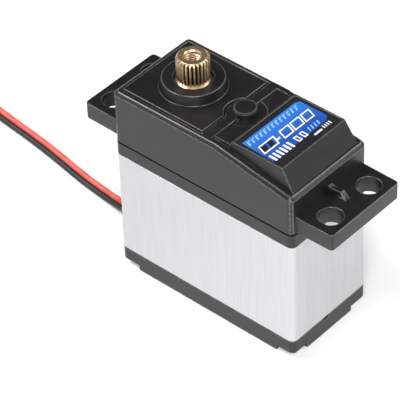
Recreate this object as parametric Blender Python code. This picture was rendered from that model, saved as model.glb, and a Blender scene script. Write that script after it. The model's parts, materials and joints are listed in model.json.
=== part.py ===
"""Standard-size servo motor with metal gears, an aluminium centre case and a three-wire lead.

Z runs up along the output shaft and X along the case, with the output shaft at the -X end. The
origin is under the middle of the case, on the surface it stands on. Sizes are in millimetres.
"""

import math

import bmesh
import bpy
from mathutils import Matrix, Vector

MM = 0.001

# Case
LENGTH = 40.5
WIDTH = 20.12
CORNER = 1.1
COVER_TOP = 4.0
FOOT_STEP = 1.3
FOOT_X = 16.2
FOOT_Y = 6.0
CENTRE_BOTTOM = 4.15
CENTRE_TOP = 26.0
PLATE_BOTTOM = 26.15
PLATE_TOP = 28.95
SEAM_DEPTH = 0.35
TOP_BOTTOM = 29.1
LEDGE = 40.0
LEDGE_END = 36.95
SLOPE_START = 3.0
SHOULDER = 0.6
WALL = 1.4
INNER_CUT = 4.2

# Raised features of the top
DECK_TOP = 40.25
DECK_X = (-18.9, -0.7)
DECK_Y = 8.55
STRIP_X = (1.85, 6.5)
STRIP_Y = 8.2
HUMP_TOP = 41.15
HUMP_X = (5.75, 16.85)
HUMP_Y = 8.3
LABEL_X = (6.15, 16.45)
LABEL_Y = 7.95
LABEL_DEPTH = 0.35
LABEL_THICK = 0.12
BOSS_TOP = 42.1
BOSS_BASE_RADIUS = 6.2
BOSS_TOP_RADIUS = 5.6
BOSS_LIP = 0.13
POST_TOP = 41.4
POST_RADIUS = 2.17
POST_MOAT = 3.75
GROOVE = 0.28

# Mounting ears
EAR_BOTTOM = 29.4
EAR_TOP = 32.8
EAR_REACH = 28.1
EAR_Y = 9.0
EAR_HOLE_X = 24.6
EAR_HOLE_Y = 5.1
EAR_HOLE = 4.5
RIB_TOP = 34.0
RIB_HALF = 0.55

# Shaft axes
OUTPUT = (-10.1, 0.0)
CENTRE_PIN = (1.66, 0.0)
SECOND_PIN = (8.75, 2.75)
MOTOR = (9.4, 0.0)
PIN_RADIUS = 0.75

# Gear train, from the motor to the output
PINION_TEETH = 10
FIRST_TEETH = (50, 12)
SECOND_TEETH = (32, 12)
THIRD_TEETH = (32, 18)
OUTPUT_TEETH = 38
PRESSURE_ANGLE = math.radians(25)
TOOTH_SLACK = 0.04
ADDENDUM = 0.8
DEDENDUM = 1.0
GEAR_BORE = 0.85

# Output shaft
SPLINE_TEETH = 25
SPLINE_RADIUS = 3.0
SPLINE_ROOT = 2.62
SPLINE_BOTTOM = 42.25
SHAFT_TOP = 46.7
JOURNAL = 3.12
THREAD_RADIUS = 1.38

# Ball bearings
BEARING_BORE = 3.17
BEARING_OUTSIDE = 5.0
BALL = 0.45
BALL_CIRCLE = 4.15
BALLS = 10
UPPER_BEARING = (38.3, 41.1)
LOWER_BEARING = (26.3, 28.2)

# Motor
CAN_RADIUS = 9.2
CAN_FLAT = 7.6
CAN_Z = (8.6, 25.9)
CAN_WALL = 1.0
SHAFT_RADIUS = 0.75
NOSE_RADIUS = 1.9
SCREW_CIRCLE = 5.2
TERMINAL_Y = 5.5

# Screws
SCREW_X = 17.6
SCREW_Y = 7.6
SCREW_RADIUS = 0.9
SCREW_HEAD = 1.8

# Lead
WIRE = 1.2
WIRE_PITCH = 1.24
WIRE_EXIT_Z = 2.85
PLUG_PITCH = 2.54
FLOOR_Z = 0.62
LEAD_ROUTE = [
    (-17.2, 0.0, 2.85), (-19.5, 0.0, 2.85), (-22.0, 0.0, 2.82), (-25.0, 0.15, 2.45),
    (-28.5, 0.6, 1.65), (-32.0, 1.25, 0.95), (-36.0, 1.85, 0.66), (-41.0, 2.5, 0.62),
    (-46.5, 3.45, 0.62), (-52.3, 4.45, 0.62), (-58.5, 5.3, 0.62), (-64.5, 5.95, 0.62),
    (-71.0, 6.9, 0.62), (-77.5, 7.95, 0.62), (-84.0, 8.5, 0.62),
]
TWIST_X = (-69.5, -77.0)
COIL_CENTRE = (-84.0, -6.7)
COIL_RADIUS = 15.2
COIL_PITCH = 1.25
COIL_TURNS = 2.5
TAIL_BEND = 2.5
TAIL_RUN = 4.5
TAIL_IN_RING = 10.4
PLUG_LONG = 13.6
PLUG_WIDE = 7.7
PLUG_HIGH = 2.6
PLUG_MIDDLE = 1.3
COIL_INNER = 11.35
COIL_OUTER = 15.9

AROUND = 40


def clear_scene():
    for old in list(bpy.data.objects):
        bpy.data.objects.remove(old)


def material(name, colour, roughness, metallic=0.0):
    made = bpy.data.materials.new(name)
    made.use_nodes = True
    shader = made.node_tree.nodes["Principled BSDF"]
    shader.inputs["Base Color"].default_value = (*colour, 1.0)
    shader.inputs["Roughness"].default_value = roughness
    shader.inputs["Metallic"].default_value = metallic
    return made


def solid(name, points, faces):
    """A mesh object, still in millimetres; finish() brings it to metres."""
    mesh = bpy.data.meshes.new(name)
    mesh.from_pydata([Vector(p) for p in points], [], faces)
    made = bpy.data.objects.new(name, mesh)
    bpy.context.collection.objects.link(made)
    return made


def prism(name, outline, low, high):
    """An outline in the XY plane, listed anticlockwise, drawn up from low to high."""
    n = len(outline)
    points = [(x, y, low) for x, y in outline] + [(x, y, high) for x, y in outline]
    sides = [(i, (i + 1) % n, (i + 1) % n + n, i + n) for i in range(n)]
    return solid(name, points, [tuple(range(n))[::-1], tuple(range(n, 2 * n)), *sides])


def side_prism(name, profile, near, far):
    """A profile in the XZ plane, listed anticlockwise seen from -Y, drawn along Y."""
    n = len(profile)
    points = [(x, near, z) for x, z in profile] + [(x, far, z) for x, z in profile]
    sides = [(i, i + n, (i + 1) % n + n, (i + 1) % n) for i in range(n)]
    return solid(name, points, [tuple(range(n)), tuple(range(n, 2 * n))[::-1], *sides])


def turned(name, profile, at=(0.0, 0.0), sides=AROUND, start=0.0):
    """A solid turned about the vertical through at, from its (radius, z) outline, bottom to top."""
    points = []
    for r, z in profile:
        for i in range(sides):
            a = start + 2 * math.pi * i / sides
            points.append((at[0] + r * math.cos(a), at[1] + r * math.sin(a), z))
    faces = [tuple(range(sides))[::-1], tuple(range(len(points) - sides, len(points)))]
    for j in range(len(profile) - 1):
        for i in range(sides):
            k = (i + 1) % sides
            faces.append((j * sides + i, j * sides + k, (j + 1) * sides + k, (j + 1) * sides + i))
    return solid(name, points, faces)


def ring(name, inner, outer, low, high, at, sides=AROUND):
    points = []
    for r, z in ((inner, low), (outer, low), (outer, high), (inner, high)):
        for i in range(sides):
            a = 2 * math.pi * i / sides
            points.append((at[0] + r * math.cos(a), at[1] + r * math.sin(a), z))
    faces = []
    for j in range(4):
        for i in range(sides):
            k = (i + 1) % sides
            low_row, high_row = j * sides, (j + 1) % 4 * sides
            faces.append((low_row + i, low_row + k, high_row + k, high_row + i))
    return solid(name, points, faces)


def box(name, low, high):
    outline = [(low[0], low[1]), (high[0], low[1]), (high[0], high[1]), (low[0], high[1])]
    return prism(name, outline, low[2], high[2])


def cylinder(name, radius, low, high, at=(0.0, 0.0), sides=AROUND):
    return turned(name, [(radius, low), (radius, high)], at, sides)


def rounded(half_x, half_y, radius, steps=5):
    """A rectangle about the origin with round corners."""
    outline = []
    for k, (sx, sy) in enumerate([(1, 1), (-1, 1), (-1, -1), (1, -1)]):
        for i in range(steps + 1):
            a = math.pi / 2 * (k + i / steps)
            cx, cy = sx * (half_x - radius), sy * (half_y - radius)
            outline.append((cx + radius * math.cos(a), cy + radius * math.sin(a)))
    return outline


def cut_corners(left, right, half_y, cut):
    """A rectangle from left to right with its four corners cut off at 45 degrees."""
    return [
        (left + cut, -half_y), (right - cut, -half_y), (right, cut - half_y), (right, half_y - cut),
        (right - cut, half_y), (left + cut, half_y), (left, half_y - cut), (left, cut - half_y),
    ]


def merged(target):
    """Joins points that a cut has left on top of each other, and drops edges with no face."""
    shape = bmesh.new()
    shape.from_mesh(target.data)
    bmesh.ops.remove_doubles(shape, verts=shape.verts, dist=0.0001)
    bmesh.ops.dissolve_degenerate(shape, edges=shape.edges, dist=0.0001)
    loose = [edge for edge in shape.edges if not edge.link_faces]
    bmesh.ops.delete(shape, geom=loose, context="EDGES")
    shape.to_mesh(target.data)
    shape.free()
    return target


def boolean(target, tool, operation):
    """Joins the tool to the target, or cuts it away, and removes the tool."""
    change = target.modifiers.new("change", "BOOLEAN")
    change.operation = operation
    change.object = tool
    change.solver = "EXACT"
    bpy.context.view_layer.update()
    ready = target.evaluated_get(bpy.context.evaluated_depsgraph_get())
    mesh = bpy.data.meshes.new_from_object(ready)
    target.modifiers.clear()
    target.data = mesh
    bpy.data.objects.remove(tool)
    return merged(target)


def join(target, *tools):
    for tool in tools:
        boolean(target, tool, "UNION")
    return target


def cut(target, *tools):
    for tool in tools:
        boolean(target, tool, "DIFFERENCE")
    return target


def bevel_edges(target, chosen, width, segments=1):
    """Bevels the edges for which chosen(first, second, direction) is true."""
    shape = bmesh.new()
    shape.from_mesh(target.data)
    edges = []
    for edge in shape.edges:
        first, second = (v.co for v in edge.verts)
        if chosen(first, second, (second - first).normalized()):
            edges.append(edge)
    bmesh.ops.bevel(shape, geom=edges, offset=width, segments=segments, profile=0.5, affect="EDGES")
    shape.to_mesh(target.data)
    shape.free()
    return target


def finish(target, surface, axis=None):
    """Brings the piece to metres, with its material, and its origin on its axis if it turns."""
    offset = Vector((axis[0], axis[1], 0.0)) if axis else Vector()
    target.data.transform(Matrix.Scale(MM, 4) @ Matrix.Translation(-offset))
    target.location = offset * MM
    target.data.materials.clear()
    target.data.materials.append(surface)
    target.data.shade_smooth()
    target.data.set_sharp_from_angle(angle=math.radians(35))
    return target


def vertical(first, second, direction):
    return abs(direction.z) > 0.99


def at_bottom(first, second, direction):
    return abs(first.z) < 0.01 and abs(second.z) < 0.01


# Teeth


def half_tooth(radius, teeth, module):
    """Half the angle that one involute tooth fills at a radius."""
    pitch = teeth * module / 2
    base = pitch * math.cos(PRESSURE_ANGLE)
    turn = math.acos(min(1.0, base / max(radius, base)))
    spread = math.tan(PRESSURE_ANGLE) - PRESSURE_ANGLE - (math.tan(turn) - turn)
    return math.pi / (2 * teeth) - TOOTH_SLACK / pitch + spread


def toothed(teeth, module, phase, at):
    """The outline of a spur gear whose first tooth points along phase."""
    pitch = teeth * module / 2
    base = max(pitch - DEDENDUM * module, pitch * math.cos(PRESSURE_ANGLE))
    radii = [pitch - DEDENDUM * module, base, pitch + ADDENDUM * module]
    outline = []
    for k in range(teeth):
        middle = phase + 2 * math.pi * k / teeth
        for side in (-1, 1):
            for r in radii[::-side]:
                a = middle + side * half_tooth(r, teeth, module)
                outline.append((at[0] + r * math.cos(a), at[1] + r * math.sin(a)))
    return outline


def module_of(first, second, teeth):
    """The module that lets two gears on these axes mesh."""
    return 2 * math.dist(first, second) / sum(teeth)


def meshing_phase(first, second, teeth, phase):
    """Where the second gear's tooth points, so that it fills the first gear's gap."""
    direction = math.atan2(second[1] - first[1], second[0] - first[0])
    ahead = ((direction - phase) * teeth[0] / (2 * math.pi)) % 1
    return direction + math.pi - (0.5 - ahead) * 2 * math.pi / teeth[1]


def gear_train():
    """Module and phase of every toothed ring, from the motor's pinion to the output gear."""
    pairs = [
        ("pinion", "first_wheel", MOTOR, CENTRE_PIN, (PINION_TEETH, FIRST_TEETH[0])),
        ("first_small", "second_wheel", CENTRE_PIN, SECOND_PIN, (FIRST_TEETH[1], SECOND_TEETH[0])),
        ("second_small", "third_wheel", SECOND_PIN, CENTRE_PIN, (SECOND_TEETH[1], THIRD_TEETH[0])),
        ("third_small", "output_wheel", CENTRE_PIN, OUTPUT, (THIRD_TEETH[1], OUTPUT_TEETH)),
    ]
    rings = {}
    for driver, driven, first, second, teeth in pairs:
        module = module_of(first, second, teeth)
        rings[driver] = toothed(teeth[0], module, 0.0, first)
        rings[driven] = toothed(teeth[1], module, meshing_phase(first, second, teeth, 0.0), second)
    return rings


# Case


def screw_places():
    return [(sx * SCREW_X, sy * SCREW_Y) for sx in (-1, 1) for sy in (-1, 1)]


def drill_screw_holes(target, radius, low, high):
    for at in screw_places():
        cut(target, cylinder("hole", radius, low, high, at, 16))
    return target


def make_bottom_cover(plastic):
    """The tray under the board, with a foot that stands lower than its four corners."""
    cover = prism("bottom_cover", rounded(LENGTH / 2, WIDTH / 2, CORNER), 0.0, COVER_TOP)
    bevel_edges(cover, at_bottom, 0.35)
    for sx in (-1, 1):
        for sy in (-1, 1):
            x = sorted((sx * FOOT_X, sx * 21.0))
            y = sorted((sy * FOOT_Y, sy * 11.0))
            cut(cover, box("corner", (x[0], y[0], -1.0), (x[1], y[1], FOOT_STEP)))
    inner = cut_corners(1.7 - LENGTH / 2, LENGTH / 2 - 1.7, WIDTH / 2 - 1.6, INNER_CUT + 0.2)
    cut(cover, prism("inside", inner, 1.5, 5.0))
    cut(cover, box("lead_slot", (-21.0, -2.5, 1.8), (-18.0, 2.5, 5.0)))
    cut(cover, box("latch", (19.6, -1.5, 3.3), (21.0, -0.2, 5.0)))
    drill_screw_holes(cover, 1.1, 0.0, 5.0)
    drill_screw_holes(cover, SCREW_HEAD + 0.1, -1.0, FOOT_STEP)
    return finish(cover, plastic)


def make_centre_case(metal):
    case = prism("centre_case", rounded(LENGTH / 2, WIDTH / 2, CORNER), CENTRE_BOTTOM, CENTRE_TOP)
    inner = cut_corners(WALL - LENGTH / 2, LENGTH / 2 - WALL, WIDTH / 2 - WALL, INNER_CUT)
    cut(case, prism("inside", inner, 0.0, 30.0))
    drill_screw_holes(case, 1.1, 0.0, 30.0)
    return finish(case, metal)


def motor_screw_places():
    places = []
    for turn in (-30, 150):
        a = math.radians(turn)
        places.append((MOTOR[0] + SCREW_CIRCLE * math.cos(a), SCREW_CIRCLE * math.sin(a)))
    return places


def make_gear_plate(plastic):
    """The plate between the motor and the gears; its rim shows as the band under the top case."""
    rim = rounded(LENGTH / 2, WIDTH / 2, CORNER)
    core = rounded(LENGTH / 2 - SEAM_DEPTH, WIDTH / 2 - SEAM_DEPTH, CORNER - SEAM_DEPTH)
    plate = prism("gear_plate", rim, PLATE_BOTTOM + 0.12, PLATE_TOP - 0.22)
    join(plate, prism("core", core, PLATE_BOTTOM, PLATE_TOP))
    seat = BEARING_OUTSIDE + 0.05
    cut(plate, turned("bearing_seat", [(seat, 20.0), (seat, 28.3), (3.6, 28.3), (3.6, 30.0)], OUTPUT))
    cut(plate, cylinder("nose_way", NOSE_RADIUS + 0.1, 20.0, 30.0, MOTOR))
    for at in motor_screw_places():
        way = [(1.05, 20.0), (1.05, 27.7), (2.0, 27.7), (2.0, 30.0)]
        cut(plate, turned("screw_way", way, at, 16))
    for at in (CENTRE_PIN, SECOND_PIN):
        cut(plate, cylinder("pin_seat", PIN_RADIUS + 0.05, 27.2, 30.0, at, 16))
    drill_screw_holes(plate, 1.1, 20.0, 30.0)
    return finish(plate, plastic)


def deck_outline(grow=0.0):
    """The raised deck round the output, with a round bite in front of the post."""
    left, right = DECK_X[0] - grow, DECK_X[1] + grow
    side, moat = DECK_Y + grow, POST_MOAT - grow
    first = math.acos((right - CENTRE_PIN[0]) / moat)
    steps = 12
    bite = []
    for i in range(steps + 1):
        a = 2 * math.pi - first + (2 * first - 2 * math.pi) * i / steps
        bite.append((CENTRE_PIN[0] + moat * math.cos(a), moat * math.sin(a)))
    return [(left, -side), (right, -side), *bite, (right, side), (left, side)]


def strip_outline(grow=0.0):
    """The raised plate between the post and the label block."""
    left, right, side = STRIP_X[0] - grow, STRIP_X[1], STRIP_Y + grow
    return [(left, -side), (right, -side), (right, side), (left, side)]


def make_hump():
    """The raised block that carries the label: a box with leaning sides and a longer slope at +X."""
    low = 36.0
    drop = HUMP_TOP - low
    ends = (HUMP_X[0] - 0.45 * drop, HUMP_X[1] + 0.61 * drop)
    wide = HUMP_Y + 0.07 * drop
    points = [
        (ends[0], -wide, low), (ends[1], -wide, low), (ends[1], wide, low), (ends[0], wide, low),
        (HUMP_X[0], -HUMP_Y, HUMP_TOP), (HUMP_X[1], -HUMP_Y, HUMP_TOP),
        (HUMP_X[1], HUMP_Y, HUMP_TOP), (HUMP_X[0], HUMP_Y, HUMP_TOP),
    ]
    faces = [(3, 2, 1, 0), (4, 5, 6, 7), (0, 1, 5, 4), (1, 2, 6, 5), (2, 3, 7, 6), (3, 0, 4, 7)]
    return solid("hump", points, faces)


def make_ear(side):
    """One mounting ear with its stiffening rib."""
    outline = [(x + side * (EAR_REACH - 5.0), y) for x, y in rounded(5.0, EAR_Y, 0.7, 3)]
    ear = prism("ear", outline, EAR_BOTTOM, EAR_TOP)
    rib = [(19.0, 32.0), (24.2, 32.0), (24.2, EAR_TOP), (23.0, RIB_TOP), (19.0, RIB_TOP)]
    if side < 0:
        rib = [(-x, z) for x, z in rib[::-1]]
    join(ear, side_prism("rib", rib, -RIB_HALF, RIB_HALF))
    return ear


def make_top_case(plastic):
    half = LENGTH / 2
    profile = [
        (-half, TOP_BOTTOM), (half, TOP_BOTTOM), (half, LEDGE_END), (SLOPE_START, LEDGE),
        (-half, LEDGE),
    ]
    top = side_prism("top_case", profile, -WIDTH / 2, WIDTH / 2)
    bevel_edges(top, vertical, CORNER, 3)

    def shoulder(a, b, d):
        high = min(a.z, b.z) > 36.5
        across = abs(abs(d.y) - 1) < 0.01 and abs(a.x - SLOPE_START) < 0.01
        return high and not across and not abs(d.z) > 0.99

    bevel_edges(top, shoulder, SHOULDER)
    for outline in (deck_outline, strip_outline):
        cut(top, prism("groove", outline(GROOVE), LEDGE - GROOVE, 42.0))
        join(top, prism("plate", outline(), 38.5, DECK_TOP))
    cut(top, cylinder("moat", POST_MOAT, LEDGE, 42.0, CENTRE_PIN, 36))
    join(top, make_ear(-1), make_ear(1), make_hump())
    lip = DECK_TOP + BOSS_LIP
    boss = [
        (BOSS_BASE_RADIUS, 39.0), (BOSS_BASE_RADIUS, lip), (BOSS_BASE_RADIUS - BOSS_LIP, lip),
        (BOSS_TOP_RADIUS, BOSS_TOP),
    ]
    join(top, turned("boss", boss, OUTPUT))
    post = [(POST_RADIUS, 39.0), (POST_RADIUS, POST_TOP - 0.2), (POST_RADIUS - 0.2, POST_TOP)]
    join(top, turned("post", post, CENTRE_PIN, 32))

    inner = cut_corners(1.5 - half, half - 1.5, WIDTH / 2 - 1.35, INNER_CUT)
    cut(top, prism("low_room", inner, 20.0, 35.3))
    inner = cut_corners(1.5 - half, 15.5, WIDTH / 2 - 1.35, INNER_CUT)
    cut(top, prism("high_room", inner, 30.0, 38.0))
    seat = BEARING_OUTSIDE + 0.05
    way = [(seat, 37.0), (seat, 41.2), (3.55, 41.2), (3.55, 43.0)]
    cut(top, turned("bearing_seat", way, OUTPUT, AROUND, 0.05))
    cut(top, cylinder("pin_seat", PIN_RADIUS + 0.05, 37.0, 39.9, CENTRE_PIN, 18))
    cut(top, cylinder("pin_seat", PIN_RADIUS + 0.05, 37.0, 39.4, SECOND_PIN, 18))
    middle = (LABEL_X[0] + LABEL_X[1]) / 2
    pocket = rounded((LABEL_X[1] - LABEL_X[0]) / 2, LABEL_Y, 0.5, 3)
    pocket = [(x + middle, y) for x, y in pocket]
    cut(top, prism("label_pocket", pocket, HUMP_TOP - LABEL_DEPTH, 43.0))
    for sx in (-1, 1):
        for sy in (-1, 1):
            at = (sx * EAR_HOLE_X, sy * EAR_HOLE_Y)
            cut(top, cylinder("ear_hole", EAR_HOLE / 2, 20.0, 40.0, at, 28))
    drill_screw_holes(top, SCREW_RADIUS + 0.1, 20.0, 34.6)
    return finish(top, plastic)


def make_label(paper):
    middle = (LABEL_X[0] + LABEL_X[1]) / 2
    outline = rounded((LABEL_X[1] - LABEL_X[0]) / 2 - 0.1, LABEL_Y - 0.1, 0.45, 3)
    low = HUMP_TOP - LABEL_DEPTH + 0.05
    label = prism("label", [(x + middle, y) for x, y in outline], low, low + LABEL_THICK)
    return finish(label, paper)


# Fasteners


def make_screw(name, at, head_z, head_high, head_radius, tip_z, steel):
    """A cross-head screw that points up from head_z if tip_z is above it, and down if below."""
    up = 1 if tip_z > head_z else -1
    outer = head_z - up * head_high
    profile = [
        (head_radius, outer), (head_radius, head_z), (SCREW_RADIUS, head_z),
        (SCREW_RADIUS, tip_z - up * 0.5), (SCREW_RADIUS * 0.5, tip_z),
    ]
    screw = turned(name, profile if up > 0 else profile[::-1], at, 14)
    depth = sorted((outer - up, outer + up * 0.6))
    for half in ((1.05, 0.2), (0.2, 1.05)):
        low = (at[0] - half[0], at[1] - half[1], depth[0])
        high = (at[0] + half[0], at[1] + half[1], depth[1])
        cut(screw, box("slot", low, high))
    return finish(screw, steel)


def make_screws(steel):
    for i, at in enumerate(screw_places()):
        make_screw(f"case_screw_{i + 1}", at, FOOT_STEP - 0.05, 1.1, SCREW_HEAD, 34.0, steel)
    for i, at in enumerate(motor_screw_places()):
        make_screw(f"motor_screw_{i + 1}", at, 27.75, 0.9, SCREW_HEAD, 25.2, steel)


def make_pins(steel):
    for name, at, high in (("centre_pin", CENTRE_PIN, 39.7), ("second_pin", SECOND_PIN, 39.2)):
        finish(cylinder(name, PIN_RADIUS, 27.3, high, at, 16), steel)


# Gears


def make_compound_gear(name, at, wheel, wheel_z, small, small_z, hub_top, metal):
    gear = prism(name, wheel, *wheel_z)
    join(gear, prism("small", small, wheel_z[1] - 0.1, small_z))
    if hub_top > small_z:
        join(gear, cylinder("hub", 1.5, small_z - 0.2, hub_top, at, 24))
    cut(gear, cylinder("bore", GEAR_BORE, 20.0, 45.0, at, 20))
    return finish(gear, metal, at)


def make_gears(brass, steel):
    rings = gear_train()
    for name, at, wheel_z, small_z, hub_top, metal in (
        ("first", CENTRE_PIN, (29.5, 31.3), 33.6, 0.0, brass),
        ("second", SECOND_PIN, (31.9, 33.3), 35.4, 37.7, brass),
        ("third", CENTRE_PIN, (33.9, 35.3), 37.7, 0.0, steel),
    ):
        wheel, small = rings[f"{name}_wheel"], rings[f"{name}_small"]
        make_compound_gear(f"{name}_gear", at, wheel, wheel_z, small, small_z, hub_top, metal)
    pinion = prism("motor_pinion", rings["pinion"], 29.4, 31.5)
    cut(pinion, cylinder("bore", SHAFT_RADIUS + 0.05, 20.0, 40.0, MOTOR, 20))
    finish(pinion, brass, MOTOR)
    return rings


def make_output_gear(wheel, brass):
    """The last gear, its shaft, and the splined end with its threaded hole."""
    hub = 3.4
    profile = [
        (JOURNAL, 25.9), (JOURNAL, 28.9), (hub, 29.2), (hub, 37.6), (3.3, 38.0), (JOURNAL, 38.1),
        (JOURNAL, 41.6), (2.4, 42.0), (2.4, SPLINE_BOTTOM + 0.3),
    ]
    gear = turned("output_gear", profile, OUTPUT, 36)
    join(gear, prism("wheel", wheel, 35.6, 37.6))
    spline = []
    root, tip = SPLINE_ROOT, SPLINE_RADIUS
    for k in range(SPLINE_TEETH):
        for r, share in ((root, -0.38), (tip, -0.12), (tip, 0.12), (root, 0.38)):
            a = 2 * math.pi * (k + share) / SPLINE_TEETH
            spline.append((OUTPUT[0] + r * math.cos(a), OUTPUT[1] + r * math.sin(a)))
    teeth = prism("spline", spline, SPLINE_BOTTOM - 0.1, SHAFT_TOP)
    cone = [(3.5, 40.0), (3.5, SHAFT_TOP - 0.95), (2.55, SHAFT_TOP)]
    boolean(teeth, turned("cone", cone, OUTPUT, 30, 0.03), "INTERSECT")
    join(gear, teeth)
    hole = [
        (THREAD_RADIUS, 38.5), (THREAD_RADIUS, SHAFT_TOP - 0.3), (1.62, SHAFT_TOP - 0.06),
        (1.62, 48.0),
    ]
    cut(gear, turned("thread", hole, OUTPUT, 28, 0.02))
    cut(gear, flat_sided("sensor_bore", 1.62, 1.12, 20.0, 33.5, OUTPUT))
    return finish(gear, brass, OUTPUT)


def flat_sided(name, radius, flat, low, high, at, steps=24):
    """A round bar with one flat on its +X side."""
    first = math.acos(flat / radius)
    outline = []
    for i in range(steps + 1):
        a = first + (2 * math.pi - 2 * first) * i / steps
        outline.append((at[0] + radius * math.cos(a), at[1] + radius * math.sin(a)))
    return prism(name, outline, low, high)


# Bearings


def make_bearing(name, low, high, steel, cage_metal):
    race = BALL + 0.05
    outer = ring(f"{name}_outer_ring", BALL_CIRCLE + race, BEARING_OUTSIDE, low, high, OUTPUT, 28)
    finish(outer, steel)
    inner = ring(f"{name}_inner_ring", BEARING_BORE, BALL_CIRCLE - race, low, high, OUTPUT, 28)
    finish(inner, steel, OUTPUT)
    middle = (low + high) / 2
    inside, outside = BALL_CIRCLE - 0.15, BALL_CIRCLE + 0.15
    cage = ring(f"{name}_ball_cage", inside, outside, middle - 0.3, middle + 0.3, OUTPUT, 28)
    for k in range(BALLS):
        a = 2 * math.pi * k / BALLS
        at = (OUTPUT[0] + BALL_CIRCLE * math.cos(a), OUTPUT[1] + BALL_CIRCLE * math.sin(a))
        arc = [math.radians(d) for d in (-60, 0, 60)]
        profile = [(BALL * math.cos(t), middle + BALL * math.sin(t)) for t in arc]
        join(cage, turned("ball", profile, at, 7, a + 0.2))
    finish(cage, cage_metal, OUTPUT)


# Position sensor under the output shaft


def make_sensor(plastic, steel, brass):
    body = turned("sensor_body", [(5.4, 14.6), (5.4, 20.6), (2.7, 20.6), (2.7, 25.4)], OUTPUT, 24)
    finish(cut(body, cylinder("shaft_way", 1.6, 10.0, 30.0, OUTPUT, 20)), plastic)
    finish(flat_sided("sensor_shaft", 1.5, 1.0, 15.4, 33.0, OUTPUT, 16), steel, OUTPUT)
    for i in range(3):
        x = OUTPUT[0] + 2.5 * (i - 1)
        finish(box(f"sensor_pin_{i + 1}", (x - 0.3, -4.2, 5.6), (x + 0.3, -3.9, 14.5)), brass)


# Motor


def flattened(radius, flat, steps=32):
    """A circle about the motor's axis with a flat on its +Y and -Y sides."""
    outline = []
    for i in range(steps):
        a = 2 * math.pi * (i + 0.5) / steps
        y = max(-flat, min(flat, radius * math.sin(a)))
        outline.append((MOTOR[0] + radius * math.cos(a), y))
    return outline


def make_motor(steel, dark, plastic, brass, copper):
    can = prism("motor_can", flattened(CAN_RADIUS, CAN_FLAT), *CAN_Z)
    join(can, cylinder("nose", NOSE_RADIUS, CAN_Z[1] - 0.5, 28.3, MOTOR, 28))
    inside = flattened(CAN_RADIUS - CAN_WALL, CAN_FLAT - CAN_WALL)
    cut(can, prism("inside", inside, 0.0, CAN_Z[1] - 1.0))
    cut(can, cylinder("shaft_way", SHAFT_RADIUS + 0.05, 20.0, 30.0, MOTOR, 24))
    for at in motor_screw_places():
        cut(can, cylinder("screw_hole", SCREW_RADIUS + 0.1, 20.0, 30.0, at, 16))
    finish(can, steel)
    cap = prism("motor_end_cap", flattened(CAN_RADIUS, CAN_FLAT), 7.1, 8.5)
    x = MOTOR[0]
    for i, sy in enumerate((-1, 1)):
        y = sy * TERMINAL_Y
        cut(cap, box("tab_slot", (x - 1.1, y - 0.35, 0.0), (x + 1.1, y + 0.35, 12.0)))
        tab = box(f"motor_terminal_{i + 1}", (x - 1.0, y - 0.25, 3.9), (x + 1.0, y + 0.25, 10.9))
        finish(tab, brass)
        near, far = sorted((sy * 2.45, sy * 5.15))
        brush = box(f"motor_brush_{i + 1}", (x - 0.8, near, 9.4), (x + 0.8, far, 10.8))
        finish(brush, dark)
    finish(cap, plastic)
    for i, sx in enumerate((-1, 1)):
        finish(make_magnet(f"motor_magnet_{i + 1}", sx), dark)
    finish(cylinder("motor_shaft", SHAFT_RADIUS, 8.8, 31.7, MOTOR, 20), steel, MOTOR)
    commutator = ring("motor_commutator", SHAFT_RADIUS + 0.05, 2.35, 9.2, 11.2, MOTOR, 24)
    finish(commutator, copper, MOTOR)
    finish(make_armature(), steel, MOTOR)


def make_magnet(name, side):
    """One of the two curved magnets inside the can."""
    steps = 8
    spread = math.radians(42)
    outline = []
    for radius, way in ((CAN_RADIUS - CAN_WALL - 0.1, 1), (6.5, -1)):
        for i in range(steps + 1):
            a = way * (2 * spread * i / steps - spread)
            outline.append((MOTOR[0] + side * radius * math.cos(a), radius * math.sin(a)))
    return prism(name, outline if side > 0 else outline[::-1], 12.0, 23.5)


def make_armature():
    """Three iron poles wound with wire, on the motor's shaft."""
    pole = [
        (2.3, -38), (5.0, -36), (6.1, -48), (6.1, -24), (6.1, 0), (6.1, 24), (6.1, 48), (5.0, 36),
        (2.3, 38),
    ]
    outline = []
    for k in range(3):
        for r, turn in pole:
            a = math.radians(120 * k + turn)
            outline.append((MOTOR[0] + r * math.cos(a), r * math.sin(a)))
    core = prism("motor_armature", outline, 12.5, 23.0)
    return cut(core, cylinder("bore", SHAFT_RADIUS + 0.05, 0.0, 30.0, MOTOR, 20))


# Electronics


def make_board(board_green, chip_black, tin):
    outline = cut_corners(2.3 - LENGTH / 2, LENGTH / 2 - 2.3, 7.9, INNER_CUT + 0.4)
    board = prism("control_board", outline, 4.6, 5.5)
    for y in (-TERMINAL_Y, TERMINAL_Y):
        low, high = (MOTOR[0] - 1.2, y - 0.45, 0.0), (MOTOR[0] + 1.2, y + 0.45, 12.0)
        cut(board, box("slot", low, high))
    finish(board, board_green)
    finish(box("microcontroller", (-8.0, -2.5, 3.55), (-3.0, 2.5, 4.5)), chip_black)
    for i in range(4):
        x, y = 0.4 + 3.6 * (i % 2), 3.4 if i < 2 else -6.6
        finish(box(f"motor_driver_{i + 1}", (x, y, 3.4), (x + 2.6, y + 3.2, 4.5)), chip_black)
    can = side_cylinder("smoothing_capacitor", 1.15, (12.6, 3.2), -3.0, 3.0)
    finish(can, tin)


def side_cylinder(name, radius, centre, near, far, sides=20):
    """A round bar along Y, whose centre is given as (x, z)."""
    profile = []
    for i in range(sides):
        a = 2 * math.pi * i / sides
        profile.append((centre[0] + radius * math.cos(a), centre[1] + radius * math.sin(a)))
    return side_prism(name, profile, near, far)


# Lead


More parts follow.
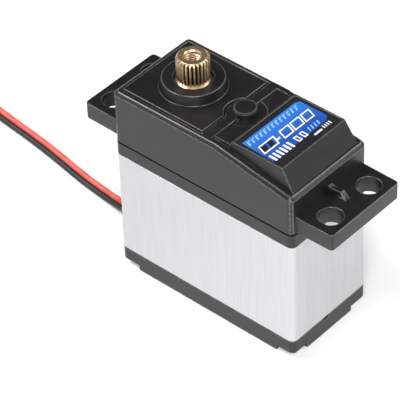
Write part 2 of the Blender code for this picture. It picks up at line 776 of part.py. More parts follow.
def smooth_route(points, step):
    """Points every step along a curve that passes through the given ones."""
    knots = [Vector(p) for p in points]
    knots = [2 * knots[0] - knots[1], *knots, 2 * knots[-1] - knots[-2]]
    fine = []
    for a, b, c, d in zip(knots, knots[1:], knots[2:], knots[3:]):
        for i in range(20):
            t = i / 20
            bend = (2 * a - 5 * b + 4 * c - d) * t**2 + (3 * b - a - 3 * c + d) * t**3
            fine.append(0.5 * (2 * b + (c - a) * t + bend))
    fine.append(knots[-2])
    return evenly(fine, step)


def evenly(points, step):
    """The same line with its points a step apart."""
    spaced, since = [points[0]], 0.0
    for a, b in zip(points, points[1:]):
        since += (b - a).length
        if since >= step:
            spaced.append(b)
            since = 0.0
    return spaced


def wire_place(here, ahead, lane, lean, spread):
    """One wire of the ribbon: beside the line where it lies flat, above or below where it stands."""
    beside = Vector((-ahead.y, ahead.x, 0)).normalized()
    across = lane * spread * math.cos(lean)
    up = (lane + 1) * spread * math.sin(lean)
    return here + beside * across + Vector((0, 0, up))


def lead_points(line, lane):
    """A wire of the straight lead, which turns on edge before it reaches the coil."""
    made = []
    for i, here in enumerate(line):
        ahead = line[min(i + 1, len(line) - 1)] - line[max(i - 1, 0)]
        lean = math.pi / 2 * ease((here.x - TWIST_X[0]) / (TWIST_X[1] - TWIST_X[0]))
        made.append(wire_place(here, ahead, lane, lean, WIRE_PITCH))
    return made


def tail_points(lane):
    """The end of a wire, from the inside of the coil to the back of the plug, where it lies flat."""
    x, start = COIL_CENTRE[0] + TAIL_BEND, COIL_CENTRE[1] - TAIL_IN_RING
    made = []
    for i in range(7):
        t = i / 6
        height = FLOOR_Z + (PLUG_MIDDLE - FLOOR_Z) * ease(t)
        here = Vector((x, start + (plug_back() - 0.3 - start) * t, height))
        spread = WIRE_PITCH + (PLUG_PITCH - WIRE_PITCH) * ease(t)
        made.append(wire_place(here, Vector((0, 1, 0)), lane, math.pi / 2 * (1 - ease(t)), spread))
    return made


def plug_back():
    inner = COIL_RADIUS - COIL_PITCH * COIL_TURNS
    return COIL_CENTRE[1] - inner + TAIL_BEND + TAIL_RUN + 0.3


def tube(name, points, diameter, surface):
    curve = bpy.data.curves.new(name, "CURVE")
    curve.dimensions = "3D"
    curve.bevel_depth = diameter / 2 * MM
    curve.bevel_resolution = 2
    curve.use_fill_caps = True
    spline = curve.splines.new("POLY")
    spline.points.add(len(points) - 1)
    for point, place in zip(spline.points, points):
        point.co = (*(place * MM), 1.0)
    made = bpy.data.objects.new(name, curve)
    bpy.context.collection.objects.link(made)
    curve.materials.append(surface)
    return made


def ease(t):
    t = max(0.0, min(1.0, t))
    return t * t * (3 - 2 * t)


def make_lead(colours, rubber):
    grommet = [
        (-21.1, -3.2), (-20.4, -3.2), (-20.4, -2.4), (-18.3, -2.4), (-18.3, -3.0), (-17.7, -3.0),
        (-17.7, 3.0), (-18.3, 3.0), (-18.3, 2.4), (-20.4, 2.4), (-20.4, 3.2), (-21.1, 3.2),
    ]
    seal = prism("lead_grommet", grommet, 1.9, 3.95)
    half = WIRE_PITCH + WIRE / 2 + 0.05
    cut(seal, box("ribbon_way", (-25.0, -half, WIRE_EXIT_Z - 0.65), (-15.0, half, WIRE_EXIT_Z + 0.65)))
    finish(seal, rubber)

    line = [p for p in smooth_route(LEAD_ROUTE, 2.6) if p.x > COIL_CENTRE[0] + 7.2]
    for lane, name in zip((1, 0, -1), ("black_wire", "red_wire", "white_wire")):
        tube(name, lead_points(line, lane), WIRE, colours[name])
        tube(f"{name}_tail", tail_points(lane), WIRE, colours[name])
    coil = ring("lead_coil", COIL_INNER, COIL_OUTER, 0.0, 3.75, COIL_CENTRE, 40)
    finish(coil, colours["black_wire"])


def make_plug(plug_black, gold):
    x, rear = COIL_CENTRE[0] + TAIL_BEND, plug_back()
    front = rear + PLUG_LONG
    plug = box("lead_plug", (x - PLUG_WIDE / 2, rear, 0.0), (x + PLUG_WIDE / 2, front, PLUG_HIGH))
    for lane in (-1, 0, 1):
        at = x + lane * PLUG_PITCH
        cut(plug, box("socket", (at - 0.6, rear + 2.0, 0.7), (at + 0.6, front + 1.0, 1.9)))
        cut(plug, box("latch_window", (at - 0.5, rear + 4.6, 1.3), (at + 0.5, rear + 7.4, 3.0)))
    finish(plug, plug_black)
    for i, lane in enumerate((-1, 0, 1)):
        at = x + lane * PLUG_PITCH
        contact = box(f"plug_contact_{i + 1}", (at - 0.5, rear + 3.0, 0.8), (at + 0.5, front - 1.0, 1.8))
        cut(contact, box("mouth", (at - 0.35, rear + 4.0, 0.95), (at + 0.35, front + 1.0, 1.65)))
        finish(contact, gold)


def main():
    clear_scene()
    black = material("black plastic", (0.02, 0.02, 0.021), 0.45)
    alloy = material("brushed aluminium", (0.8, 0.8, 0.82), 0.35, 1.0)
    brass = material("brass", (0.78, 0.6, 0.33), 0.3, 1.0)
    steel = material("steel", (0.62, 0.62, 0.63), 0.3, 1.0)
    dark = material("ferrite", (0.05, 0.05, 0.05), 0.7)
    copper = material("copper", (0.72, 0.38, 0.22), 0.35, 1.0)
    paper = material("printed label", (0.02, 0.2, 0.7), 0.4)
    green = material("circuit board", (0.02, 0.16, 0.07), 0.5)
    rubber = material("rubber", (0.015, 0.015, 0.015), 0.75)
    colours = {
        "black_wire": material("black insulation", (0.02, 0.02, 0.02), 0.5),
        "red_wire": material("red insulation", (0.7, 0.05, 0.03), 0.5),
        "white_wire": material("white insulation", (0.85, 0.85, 0.82), 0.5),
    }
    make_bottom_cover(black)
    make_centre_case(alloy)
    make_gear_plate(black)
    make_top_case(black)
    make_label(paper)
    make_screws(steel)
    make_pins(steel)
    rings = make_gears(brass, steel)
    make_output_gear(rings["output_wheel"], brass)
    make_bearing("upper_bearing", *UPPER_BEARING, steel, steel)
    make_bearing("lower_bearing", *LOWER_BEARING, steel, steel)
    make_sensor(black, steel, brass)
    make_motor(steel, dark, black, brass, copper)
    make_board(green, dark, alloy)
    make_lead(colours, rubber)
    make_plug(black, brass)


main()
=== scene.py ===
"""The looks of a standard-size servo motor: its camera, lead, plastics, metals and label.

The model is in metres. Sizes here are in millimetres, and MM brings them to metres.
"""

import json
import math

import bmesh
import bpy
from mathutils import Matrix, Vector

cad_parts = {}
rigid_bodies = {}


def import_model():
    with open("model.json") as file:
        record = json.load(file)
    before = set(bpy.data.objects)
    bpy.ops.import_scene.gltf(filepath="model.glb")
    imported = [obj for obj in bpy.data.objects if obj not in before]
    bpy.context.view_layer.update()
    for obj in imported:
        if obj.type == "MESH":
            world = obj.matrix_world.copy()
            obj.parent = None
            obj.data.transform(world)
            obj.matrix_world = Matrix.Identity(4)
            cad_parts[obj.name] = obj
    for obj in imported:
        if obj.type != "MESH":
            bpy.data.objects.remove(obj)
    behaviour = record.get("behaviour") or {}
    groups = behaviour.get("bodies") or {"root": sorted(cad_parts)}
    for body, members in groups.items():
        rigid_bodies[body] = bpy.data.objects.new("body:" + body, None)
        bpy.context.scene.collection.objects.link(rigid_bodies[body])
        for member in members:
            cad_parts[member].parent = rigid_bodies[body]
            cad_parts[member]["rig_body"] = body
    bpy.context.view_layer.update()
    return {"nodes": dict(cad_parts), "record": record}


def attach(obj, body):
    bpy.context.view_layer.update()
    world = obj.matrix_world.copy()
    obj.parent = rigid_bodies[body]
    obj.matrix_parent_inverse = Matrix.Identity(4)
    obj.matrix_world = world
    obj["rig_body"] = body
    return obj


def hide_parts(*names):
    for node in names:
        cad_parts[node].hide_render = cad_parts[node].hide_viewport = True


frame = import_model()

MM = 0.001

# Camera
CAMERA_PLACE = (240.01, -268.941, 334.722)
CAMERA_RIGHT = (0.75095, 0.6596, -0.03173)
CAMERA_UP = (-0.41659, 0.51047, 0.75224)
CAMERA_AHEAD = (-0.51237, 0.55168, -0.65812)
CAMERA_LENS = 244.81

# Soft lights that shine at LIGHT_AIM, in metres and watts: the direction that each one shines
# from, its distance, its width and its power
LIGHTS = {
    "key softbox": ((-0.5, -0.3, 0.8), 0.9, 0.25, 5.6),
    "front fill": ((0.5, -0.55, 0.62), 1.1, 0.5, 12.5),
    "right card": ((0.8, 0.75, 0.75), 1.0, 0.5, 4.5),
}
LIGHT_AIM = (0.0, 0.0, 0.02)
WORLD_STRENGTH = 0.15

# Lead, as in the CAD
WIRE = 1.2
WIRE_PITCH = 1.24
PLUG_PITCH = 2.54
PLUG_MIDDLE = 1.3
FLOOR_Z = 0.62
LEAD_ROUTE = [
    (-17.2, 0.0, 2.85), (-19.5, 0.0, 2.85), (-22.0, 0.0, 2.82), (-25.0, 0.15, 2.45),
    (-28.5, 0.6, 1.65), (-32.0, 1.25, 0.95), (-36.0, 1.85, 0.66), (-41.0, 2.5, 0.62),
    (-46.5, 3.45, 0.62), (-52.3, 4.45, 0.62), (-58.5, 5.3, 0.62), (-64.5, 5.95, 0.62),
    (-71.0, 6.9, 0.62), (-77.5, 7.95, 0.62), (-84.0, 8.5, 0.62),
]
TWIST_X = (-69.5, -77.0)
COIL_CENTRE = (-84.0, -6.7)
COIL_RADIUS = 15.2
COIL_PITCH = 1.25
COIL_TURNS = 2.5
TAIL_BEND = 2.5
TAIL_RUN = 4.5
ROUTE_STEPS = 3
COIL_STEPS = 26
TAIL_STEPS = 7

# Output shaft. Painted shade darkens the gaps between the splines, from their root to just under
# their tip.
OUTPUT = (-10.1, 0.0)
GAP_SHADE_RADIUS = 2.92
SPLINE_ROOT = 2.62
GAP_SHADE_BOTTOM = 42.1
GAP_SHADE_TOP = 46.25
ROOT_MARGIN = 0.06
THREAD_RADIUS = 1.4
THREAD_Z = (41.2, 46.1)
THREAD_PITCH = 0.5
THREAD_DEPTH = 0.24
THREAD_HALF = 0.17

# Heights of the seams above and below the gear plate, whose edges stay sharp
SEAMS = ((28.7, 29.15), (26.1, 26.3))

# Edge rounding of the pieces that show, at edges that turn by more than EDGE_ANGLE degrees
EDGE_ANGLE = 25.0
REFINED = {
    "top_case": 0.15, "gear_plate": 0.12, "bottom_cover": 0.15, "centre_case": 0.08,
    "output_gear": 0.03, "lead_grommet": 0.15, "lead_plug": 0.1,
}

# Printing on the label, in rows along Y that start at these places along X
PRINT_Z = 40.973
PRINT_THICK = 0.012
FIELD_X = (7.25, 14.4)
INK_FADE_X = (7.0, 14.5)
TICK_ROW = 7.65
FRAME_ROW = 10.0
BAR_ROW = 12.9
LEAN = 0.35

# Colours
BLACK = (0.0055, 0.0055, 0.0058)
# Lighter black of the outward bevels of black plastic: a painted edge highlight
EDGE_HIGHLIGHT_BLACK = (0.06, 0.06, 0.061)
ALUMINIUM = (0.6, 0.602, 0.615)
BRASS = (0.66, 0.48, 0.3)
GAP_SHADE = (0.02, 0.013, 0.008)
BLUE_LIGHT = (0.022, 0.17, 0.6)
BLUE_DEEP = (0.004, 0.06, 0.34)
PALE_BLUE = (0.22, 0.47, 0.85)
WHITE = (0.8, 0.82, 0.84)
LABEL_BLACK = (0.006, 0.006, 0.008)


def scaled(colour, share):
    return tuple(min(1.0, c * share) for c in colour)


# Node trees

# Sockets of a Mix node that mixes colours
MIX_FIRST = 6
MIX_SECOND = 7
MIX_RESULT = 2

# Scale of the brick pattern that stands for the circuit board's tracks
BOARD_SCALE = 600.0


class Surface:
    """A material with a Principled shader, and short calls that add its texture nodes."""

    def __init__(self, name, colour, roughness, metallic=0.0):
        self.material = bpy.data.materials.new(name)
        self.material.use_nodes = True
        self.tree = self.material.node_tree
        self.shader = self.tree.nodes["Principled BSDF"]
        self.shader.inputs["Base Color"].default_value = (*colour, 1.0)
        self.shader.inputs["Roughness"].default_value = roughness
        self.shader.inputs["Metallic"].default_value = metallic
        self.place = self.tree.nodes.new("ShaderNodeTexCoord").outputs["Object"]

    def link(self, source, target):
        self.tree.links.new(source, target)
        return target

    def node(self, kind, **settings):
        made = self.tree.nodes.new(f"ShaderNode{kind}")
        for setting, value in settings.items():
            setattr(made, setting, value)
        return made

    def stretched(self, scale):
        mapping = self.node("Mapping")
        mapping.inputs["Scale"].default_value = scale
        self.link(self.place, mapping.inputs["Vector"])
        return mapping.outputs["Vector"]

    def noise(self, size, detail=3.0, rough=0.55, stretch=(1.0, 1.0, 1.0)):
        """Noise whose lumps are about size millimetres across."""
        made = self.node("TexNoise")
        scale = tuple(s / (size * MM) for s in stretch)
        self.link(self.stretched(scale), made.inputs["Vector"])
        made.inputs["Scale"].default_value = 1.0
        made.inputs["Detail"].default_value = detail
        made.inputs["Roughness"].default_value = rough
        return made.outputs["Fac"]

    def ramp(self, value, low, high, dark, light):
        """Fades from the dark colour at low to the light one at high."""
        made = self.node("ValToRGB")
        made.color_ramp.elements[0].position = low
        made.color_ramp.elements[1].position = high
        made.color_ramp.elements[0].color = (*dark, 1.0)
        made.color_ramp.elements[1].color = (*light, 1.0)
        self.link(value, made.inputs["Fac"])
        return made.outputs["Color"]

    def between(self, value, low, high):
        """Brings a value from 0..1 to low..high."""
        made = self.node("MapRange")
        made.inputs["To Min"].default_value = low
        made.inputs["To Max"].default_value = high
        self.link(value, made.inputs["Value"])
        return made.outputs["Result"]

    def mixed(self, share, source, colour):
        """The source, with a colour over it where share is 1."""
        made = self.node("Mix", data_type="RGBA")
        self.link(share, made.inputs["Factor"])
        self.link(source, made.inputs[MIX_FIRST])
        made.inputs[MIX_SECOND].default_value = (*colour, 1.0)
        return made.outputs[MIX_RESULT]

    def maths(self, operation, *values):
        """A maths node, whose values are numbers or other nodes' outputs."""
        made = self.node("Math", operation=operation)
        for socket, value in zip(made.inputs, values):
            if isinstance(value, float):
                socket.default_value = value
            else:
                self.link(value, socket)
        return made.outputs["Value"]

    def coordinates(self):
        place = self.node("SeparateXYZ")
        self.link(self.place, place.inputs["Vector"])
        return place.outputs["X"], place.outputs["Y"], place.outputs["Z"]

    def fade(self, value, start, end):
        """0 at start and 1 at end, both in millimetres."""
        made = self.node("MapRange")
        made.inputs["From Min"].default_value = start * MM
        made.inputs["From Max"].default_value = end * MM
        self.link(value, made.inputs["Value"])
        return made.outputs["Result"]

    def bumped(self, *layers):
        """Adds bump layers, each a (height, depth in millimetres)."""
        normal = None
        for height, depth in layers:
            bump = self.node("Bump")
            bump.inputs["Strength"].default_value = 1.0
            bump.inputs["Distance"].default_value = depth * MM
            self.link(height, bump.inputs["Height"])
            if normal:
                self.link(normal, bump.inputs["Normal"])
            normal = bump.outputs["Normal"]
        self.link(normal, self.shader.inputs["Normal"])

    def colour(self, source):
        self.link(source, self.shader.inputs["Base Color"])

    def roughness(self, source):
        self.link(source, self.shader.inputs["Roughness"])


def black_plastic():
    made = Surface("moulded black plastic", BLACK, 0.4)
    grain = made.noise(0.2, 2.0)
    fine = made.noise(0.07, 2.0)
    patches = made.noise(2.6)
    made.colour(made.ramp(patches, 0.3, 0.7, scaled(BLACK, 0.8), scaled(BLACK, 1.3)))
    made.roughness(made.between(patches, 0.33, 0.43))
    made.bumped((grain, 0.03), (fine, 0.01))
    return made.material


def edge_highlight_plastic():
    """Edges that handling has polished, with small breaks in the polish, in a lighter black that
    is a painted highlight.
    """
    made = Surface("plastic edge with painted highlight", EDGE_HIGHLIGHT_BLACK, 0.24)
    highlight_breaks = made.noise(0.7)
    made.colour(made.ramp(highlight_breaks, 0.3, 0.7, scaled(EDGE_HIGHLIGHT_BLACK, 0.7), scaled(EDGE_HIGHLIGHT_BLACK, 1.4)))
    made.roughness(made.between(highlight_breaks, 0.18, 0.38))
    made.bumped((made.noise(0.15, 2.0), 0.004))
    return made.material


def brushed_aluminium():
    made = Surface("brushed aluminium", ALUMINIUM, 0.5, 1.0)
    streaks = made.noise(0.14, 3.0, 0.6, (1.0, 1.0, 0.012))
    clouds = made.noise(5.0)
    made.colour(made.ramp(streaks, 0.3, 0.7, scaled(ALUMINIUM, 0.93), scaled(ALUMINIUM, 1.07)))
    made.roughness(made.between(clouds, 0.44, 0.56))
    made.bumped((streaks, 0.004))
    return made.material


def painted_gap_shade(made):
    """Painted shade in the gaps between the splines: 1 at the root of the output shaft's splines,
    and 0 at their tips and on the top.
    """
    x, y, z = made.coordinates()
    x = made.maths("SUBTRACT", x, OUTPUT[0] * MM)
    square = made.maths("MULTIPLY", x, x)
    radius = made.maths("SQRT", made.maths("MULTIPLY_ADD", y, y, square))
    outside = made.maths("GREATER_THAN", radius, (SPLINE_ROOT - ROOT_MARGIN) * MM)
    under = made.maths("LESS_THAN", z, GAP_SHADE_TOP * MM)
    over = made.maths("GREATER_THAN", z, GAP_SHADE_BOTTOM * MM)
    band = made.maths("MULTIPLY", outside, made.maths("MULTIPLY", under, over))
    return made.maths("MULTIPLY", made.fade(radius, GAP_SHADE_RADIUS, SPLINE_ROOT), band)


def turned_brass():
    made = Surface("turned brass", BRASS, 0.36, 1.0)
    stains = made.noise(0.8)
    rings = made.noise(0.1, 2.0, 0.5, (0.05, 0.05, 1.0))
    unshaded_brass = made.ramp(stains, 0.3, 0.7, scaled(BRASS, 0.75), scaled(BRASS, 1.25))
    # The gaps between the splines get a painted shade colour over the brass
    made.colour(made.mixed(painted_gap_shade(made), unshaded_brass, GAP_SHADE))
    made.roughness(made.between(stains, 0.3, 0.46))
    made.bumped((rings, 0.004), (made.noise(0.07, 2.0), 0.003))
    return made.material


def machined(name, colour, roughness):
    """Bare metal with fine tool marks and faint patches."""
    made = Surface(name, colour, roughness, 1.0)
    patches = made.noise(1.5)
    made.colour(made.ramp(patches, 0.3, 0.7, scaled(colour, 0.85), scaled(colour, 1.1)))
    made.roughness(made.between(patches, roughness - 0.07, roughness + 0.1))
    made.bumped((made.noise(0.08, 2.0), 0.003))
    return made.material


def plain(name, colour, roughness, size=0.3, depth=0.006, variation=0.15):
    """A surface with a little grain and colour variation."""
    made = Surface(name, colour, roughness)
    patches = made.noise(size * 6)
    dark, light = scaled(colour, 1 - variation), scaled(colour, 1 + variation)
    made.colour(made.ramp(patches, 0.3, 0.7, dark, light))
    made.roughness(made.between(patches, roughness - 0.05, roughness + 0.08))
    made.bumped((made.noise(size, 2.0), depth))
    return made.material


def circuit_board():
    """Green lacquer over a grid of copper tracks."""
    made = Surface("circuit board", (0.02, 0.13, 0.06), 0.35)
    tracks = made.node("TexBrick")
    tracks.inputs["Color1"].default_value = (0.015, 0.11, 0.05, 1.0)
    tracks.inputs["Color2"].default_value = (0.02, 0.14, 0.06, 1.0)
    tracks.inputs["Mortar"].default_value = (0.05, 0.26, 0.1, 1.0)
    tracks.inputs["Mortar Size"].default_value = 0.06
    tracks.inputs["Scale"].default_value = 1.0
    made.link(made.stretched((BOARD_SCALE,) * 3), tracks.inputs["Vector"])
    made.colour(tracks.outputs["Color"])
    made.bumped((tracks.outputs["Fac"], 0.02), (made.noise(0.4, 2.0), 0.004))
    return made.material


def blue_print():
    """The label's blue field, lighter where the ink fades towards the middle of the case."""
    made = Surface("blue ink", (0.015, 0.13, 0.5), 0.55)
    along = made.fade(made.coordinates()[0], *INK_FADE_X)
    depth = made.maths("MULTIPLY_ADD", made.noise(2.2, 2.0), 0.45, along)
    made.colour(made.ramp(depth, 0.2, 1.2, BLUE_LIGHT, BLUE_DEEP))
    made.bumped((made.noise(0.2, 2.0), 0.002))
    return made.material


# Meshes


def new_object(name, data):
    made = bpy.data.objects.new(name, data)
    bpy.context.scene.collection.objects.link(made)
    return made


def new_mesh_object(name, shape):
    """An object from a bmesh, which is freed."""
    mesh = bpy.data.meshes.new(name)
    shape.to_mesh(mesh)
    shape.free()
    return new_object(name, mesh)


def slot_of(node):
    for part in frame["record"]["subparts"]:
        if part["node"] == node:
            return part["material_slot"]
    raise ValueError(f"{node} has no material slot")


def paint(piece, surface):
    piece.data.materials.clear()
    piece.data.materials.append(surface)


def mark_edges(shape):
    """Marks the outward edges for the bevel, and keeps inward corners and seams sharp."""
    angle = math.radians(EDGE_ANGLE)
    weight = shape.edges.layers.float.new("bevel_weight_edge")
    for edge in shape.edges:
        turn = edge.calc_face_angle_signed(0.0)
        heights = [v.co.z / MM for v in edge.verts]
        on_seam = any(low < min(heights) and max(heights) < high for low, high in SEAMS)
        if turn > angle and not on_seam:
            edge[weight] = 1.0
        elif abs(turn) > angle:
            edge.smooth = False


def refine(node, surface, edge_surface, width):
    """A clean copy of a CAD node with rounded outward edges, which stands for it."""
    shape = bmesh.new()
    shape.from_mesh(frame["nodes"][node].data)
    bmesh.ops.remove_doubles(shape, verts=shape.verts, dist=0.01 * MM)
    mark_edges(shape)
    for face in shape.faces:
        face.smooth = True
    piece = new_mesh_object(f"{node}_finish", shape)
    paint(piece, surface)
    piece.data.materials.append(edge_surface)
    change = piece.modifiers.new("edges", "BEVEL")
    change.width = width * MM
    change.segments = 2
    change.limit_method = "WEIGHT"
    change.material = 1
    change.use_clamp_overlap = False
    shading = piece.modifiers.new("shading", "WEIGHTED_NORMAL")
    shading.keep_sharp = True
    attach(piece, frame["nodes"][node]["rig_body"])
    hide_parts(node)


def print_ink(name, outlines, layer, surface):
    """Thin ink shapes on the label, from outlines listed anticlockwise in millimetres."""
    shape = bmesh.new()
    under = PRINT_Z + layer * PRINT_THICK
    for outline in outlines:
        rows = []
        for z in (under, under + PRINT_THICK):
            rows.append([shape.verts.new((x * MM, y * MM, z * MM)) for x, y in outline])
        low, high = rows
        shape.faces.new(low[::-1])
        shape.faces.new(high)
        for i in range(len(outline)):
            k = (i + 1) % len(outline)
            shape.faces.new((low[i], low[k], high[k], high[i]))
    piece = new_mesh_object(name, shape)
    paint(piece, surface)
    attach(piece, "housing")


def slanted(x, y, high, wide, lean=LEAN):
    """A block on the label: high along X, wide along Y, leaning like italic print."""
    return [
        (x + high, y), (x + high, y + wide), (x, y + wide + lean * high), (x, y + lean * high),
    ]


def framed(x, y, high, wide, line, lean=LEAN):
    """The four strokes of a slanted frame."""
    shift = lean * (high - line)
    return [
        slanted(x, y, high, line, lean),
        slanted(x, y + wide - line, high, line, lean),
        slanted(x, y + shift + line, line, wide - 2 * line, lean),
        slanted(x + high - line, y + line, line, wide - 2 * line, lean),
    ]


def make_label_print():
    """A plain graphic: a blue field with slanted frames, ticks and bars, and no lettering."""
    left, right = FIELD_X
    field = [
        (left, -7.35), (right, -7.75), (right, 6.3), (right - 0.8, 7.35), (left + 0.45, 7.35),
        (left, 6.5),
    ]
    ticks, white, dark = [], [], []
    for i in range(13):
        y = 1.02 * i
        ticks += [slanted(TICK_ROW, y - 7.1, 1.15, 0.34), slanted(TICK_ROW, y - 6.6, 0.3, 0.42)]
    for y, wide in ((-7.2, 3.9), (-1.9, 2.5), (0.9, 2.5), (3.7, 2.3)):
        white += framed(FRAME_ROW, y, 2.1, wide, 0.26)
    for y in (-6.75, -5.15):
        dark.append(slanted(FRAME_ROW + 0.4, y, 1.3, 1.25))
    white.append(slanted(FRAME_ROW + 1.0, -3.0, 0.4, 0.8))
    for i in range(6):
        white.append(slanted(BAR_ROW, 0.9 * i - 7.2, 1.75, 0.45, 0.0))
    for y in (-1.0, 0.5):
        white += framed(BAR_ROW + 0.1, y, 1.5, 0.95, 0.24, 0.0)
    white.append(slanted(right + 0.7, 2.0, 0.4, 2.0, 0.0))
    for i in range(4):
        white.append(slanted(right + 0.35, 4.5 + 0.55 * i, 0.75, 0.24, 0.0))
        ticks.append(slanted(BAR_ROW + 0.2, 2.3 + 0.8 * i, 1.0, 0.3))
    print_ink("label_blue_field", [field], 0, blue_print())
    print_ink("label_light_ticks", ticks, 1, plain("pale blue ink", PALE_BLUE, 0.55))
    print_ink("label_white_marks", white, 1, plain("white ink", WHITE, 0.55))
    print_ink("label_dark_blocks", dark, 1, plain("black ink", LABEL_BLACK, 0.5))


def make_thread(surface):
    """The screw thread inside the output shaft: one ridge wound up the wall of its hole."""
    around = 28
    low, high = THREAD_Z
    count = round((high - low) / THREAD_PITCH * around)
    ridge = [
        (THREAD_RADIUS, -THREAD_HALF), (THREAD_RADIUS - THREAD_DEPTH, 0.0),
        (THREAD_RADIUS, THREAD_HALF),
    ]
    shape = bmesh.new()
    rows = []
    for i in range(count + 1):
        a = 2 * math.pi * i / around
        z = low + THREAD_PITCH * i / around
        row = []
        for r, up in ridge:
            x, y = OUTPUT[0] + r * math.cos(a), OUTPUT[1] + r * math.sin(a)
            row.append(shape.verts.new((x * MM, y * MM, (z + up) * MM)))
        rows.append(row)
    for row, after in zip(rows, rows[1:]):
        for k in range(3):
            m = (k + 1) % 3
            shape.faces.new((row[k], after[k], after[m], row[m]))
    shape.faces.new(rows[0])
    shape.faces.new(rows[-1][::-1])
    bmesh.ops.recalc_face_normals(shape, faces=shape.faces)
    piece = new_mesh_object("horn_screw_thread", shape)
    paint(piece, surface)
    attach(piece, frame["nodes"]["output_gear"]["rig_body"])


# Camera, floor and lights


def make_camera():
    made = new_object("camera", bpy.data.cameras.new("camera"))
    right, up, ahead = (Vector(v) for v in (CAMERA_RIGHT, CAMERA_UP, CAMERA_AHEAD))
    turn = Matrix((right, up, -ahead)).transposed()
    made.matrix_world = Matrix.Translation(Vector(CAMERA_PLACE) * MM) @ turn.to_4x4()
    made.data.lens = CAMERA_LENS
    made.data.sensor_width = 36.0
    made.data.clip_start = 0.01
    made.data.clip_end = 20.0
    bpy.context.scene.camera = made


def make_floor():
    shape = bmesh.new()
    bmesh.ops.create_grid(shape, x_segments=1, y_segments=1, size=3.0)
    floor = new_mesh_object("floor", shape)
    paint(floor, Surface("paper floor", (0.9, 0.9, 0.9), 0.8).material)


def make_light(name, direction, distance, size, power):
    """A square soft light that looks at the servo from a direction."""
    data = bpy.data.lights.new(name, "AREA")
    data.shape = "SQUARE"
    data.size = size
    data.energy = power
    made = new_object(name, data)
    way = Vector(direction).normalized()
    made.location = way * distance + Vector(LIGHT_AIM)
    made.rotation_mode = "QUATERNION"
    made.rotation_quaternion = (-way).to_track_quat("-Z", "Y")


def make_studio():
    make_camera()
    make_floor()
    for name, settings in LIGHTS.items():
        make_light(name, *settings)
    world = bpy.data.worlds.new("studio")
    world.use_nodes = True
    background = world.node_tree.nodes["Background"]
    background.inputs["Color"].default_value = (1.0, 1.0, 1.0, 1.0)
    background.inputs["Strength"].default_value = WORLD_STRENGTH
    bpy.context.scene.world = world
    bpy.context.scene.view_settings.view_transform = "Standard"


# Lead


def ease(t):
    t = max(0.0, min(1.0, t))
    return t * t * (3 - 2 * t)


def smooth_route(points, steps):
    """A curve through the given points, with so many steps between each two."""
    knots = [Vector(p) for p in points]
    knots = [2 * knots[0] - knots[1], *knots, 2 * knots[-1] - knots[-2]]
    made = []
    for a, b, c, d in zip(knots, knots[1:], knots[2:], knots[3:]):
        for i in range(steps):
            t = i / steps
            bend = (2 * a - 5 * b + 4 * c - d) * t**2 + (3 * b - a - 3 * c + d) * t**3
            made.append(0.5 * (2 * b + (c - a) * t + bend))
    return [*made, knots[-2]]


def lead_line():
    """The middle wire's line from the case, round the coil and to the plug.

    Each point comes with the ribbon's lean, 0 flat and 1 on edge, and the distance between wires.
    """
    x, y = COIL_CENTRE
    line = []
    for here in smooth_route(LEAD_ROUTE, ROUTE_STEPS):
        lean = ease((here.x - TWIST_X[0]) / (TWIST_X[1] - TWIST_X[0]))
        line.append((here, lean, WIRE_PITCH))
    steps = round(COIL_TURNS * COIL_STEPS)
    for i in range(1, steps + 1):
        turn = COIL_TURNS * 2 * math.pi * i / steps
        radius = COIL_RADIUS - COIL_PITCH * turn / (2 * math.pi)
        a = math.pi / 2 + turn
        here = Vector((x + radius * math.cos(a), y + radius * math.sin(a), FLOOR_Z))
        line.append((here, 1.0, WIRE_PITCH))
    y -= COIL_RADIUS - COIL_PITCH * COIL_TURNS
    for i in range(1, TAIL_STEPS + 1):
        a = math.pi / 2 * i / TAIL_STEPS
        here = Vector((x + TAIL_BEND * math.sin(a), y + TAIL_BEND * (1 - math.cos(a)), FLOOR_Z))
        line.append((here, 1.0, WIRE_PITCH))
    for i in range(1, TAIL_STEPS + 1):
        t = i / TAIL_STEPS
        height = FLOOR_Z + (PLUG_MIDDLE - FLOOR_Z) * ease(t)
        here = Vector((x + TAIL_BEND, y + TAIL_BEND + TAIL_RUN * t, height))
        line.append((here, 1.0 - ease(t), WIRE_PITCH + (PLUG_PITCH - WIRE_PITCH) * ease(t)))
    return line


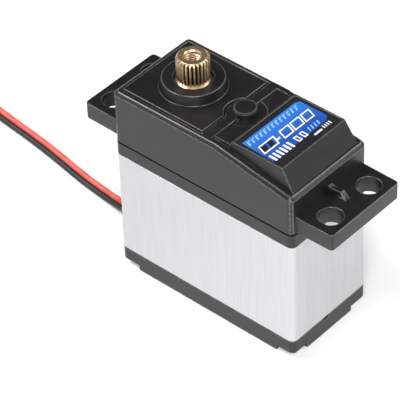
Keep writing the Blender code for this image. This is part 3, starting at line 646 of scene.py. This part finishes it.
def wire_line(line, lane):
    """One wire's points: beside the middle line where the ribbon is flat, stacked on edge."""
    made = []
    for i, (here, lean, spread) in enumerate(line):
        ahead = line[min(i + 1, len(line) - 1)][0] - line[max(i - 1, 0)][0]
        beside = Vector((-ahead.y, ahead.x, 0.0)).normalized()
        angle = math.pi / 2 * lean
        up = (lane + 1) * spread * math.sin(angle)
        made.append(here + beside * lane * spread * math.cos(angle) + Vector((0.0, 0.0, up)))
    return made


def make_wires(surfaces):
    line = lead_line()
    for lane, colour in zip((1, 0, -1), ("black", "red", "white")):
        points = [p * MM for p in wire_line(line, lane)]
        curve = bpy.data.curves.new(f"{colour}_lead", "CURVE")
        curve.dimensions = "3D"
        curve.bevel_depth = WIRE / 2 * MM
        curve.bevel_resolution = 5
        curve.use_fill_caps = True
        spline = curve.splines.new("POLY")
        spline.points.add(len(points) - 1)
        for point, place in zip(spline.points, points):
            point.co = (*place, 1.0)
        spline.use_smooth = True
        wire = new_object(f"{colour}_lead", curve)
        paint(wire, surfaces[f"{colour} insulation"])
        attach(wire, "housing")
        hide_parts(f"{colour}_wire", f"{colour}_wire_tail", "lead_coil")


# Making


def make_surfaces():
    return {
        "black plastic": black_plastic(),
        "brushed aluminium": brushed_aluminium(),
        "brass": turned_brass(),
        "steel": machined("machined steel", (0.5, 0.5, 0.51), 0.3),
        "copper": machined("drawn copper", (0.72, 0.36, 0.2), 0.28),
        "ferrite": plain("sintered ferrite", (0.03, 0.03, 0.032), 0.6, 0.15),
        "printed label": plain("black label stock", (0.006, 0.006, 0.007), 0.5, 0.5, 0.003),
        "circuit board": circuit_board(),
        "rubber": plain("rubber", (0.012, 0.012, 0.012), 0.65, 0.2, 0.01),
        "black insulation": plain("black insulation", (0.02, 0.02, 0.021), 0.42),
        "red insulation": plain("red insulation", (0.7, 0.12, 0.09), 0.4),
        "white insulation": plain("white insulation", (0.82, 0.82, 0.8), 0.42),
    }


def main():
    make_studio()
    surfaces = make_surfaces()
    for name, node in frame["nodes"].items():
        paint(node, surfaces[slot_of(name)])
    # Outward bevels of black plastic get a lighter colour, a painted edge highlight
    highlight_edges = {"black plastic": edge_highlight_plastic()}
    for node, width in REFINED.items():
        surface = surfaces[slot_of(node)]
        refine(node, surface, highlight_edges.get(slot_of(node), surface), width)
    make_wires(surfaces)
    make_thread(surfaces["brass"])
    make_label_print()


main()
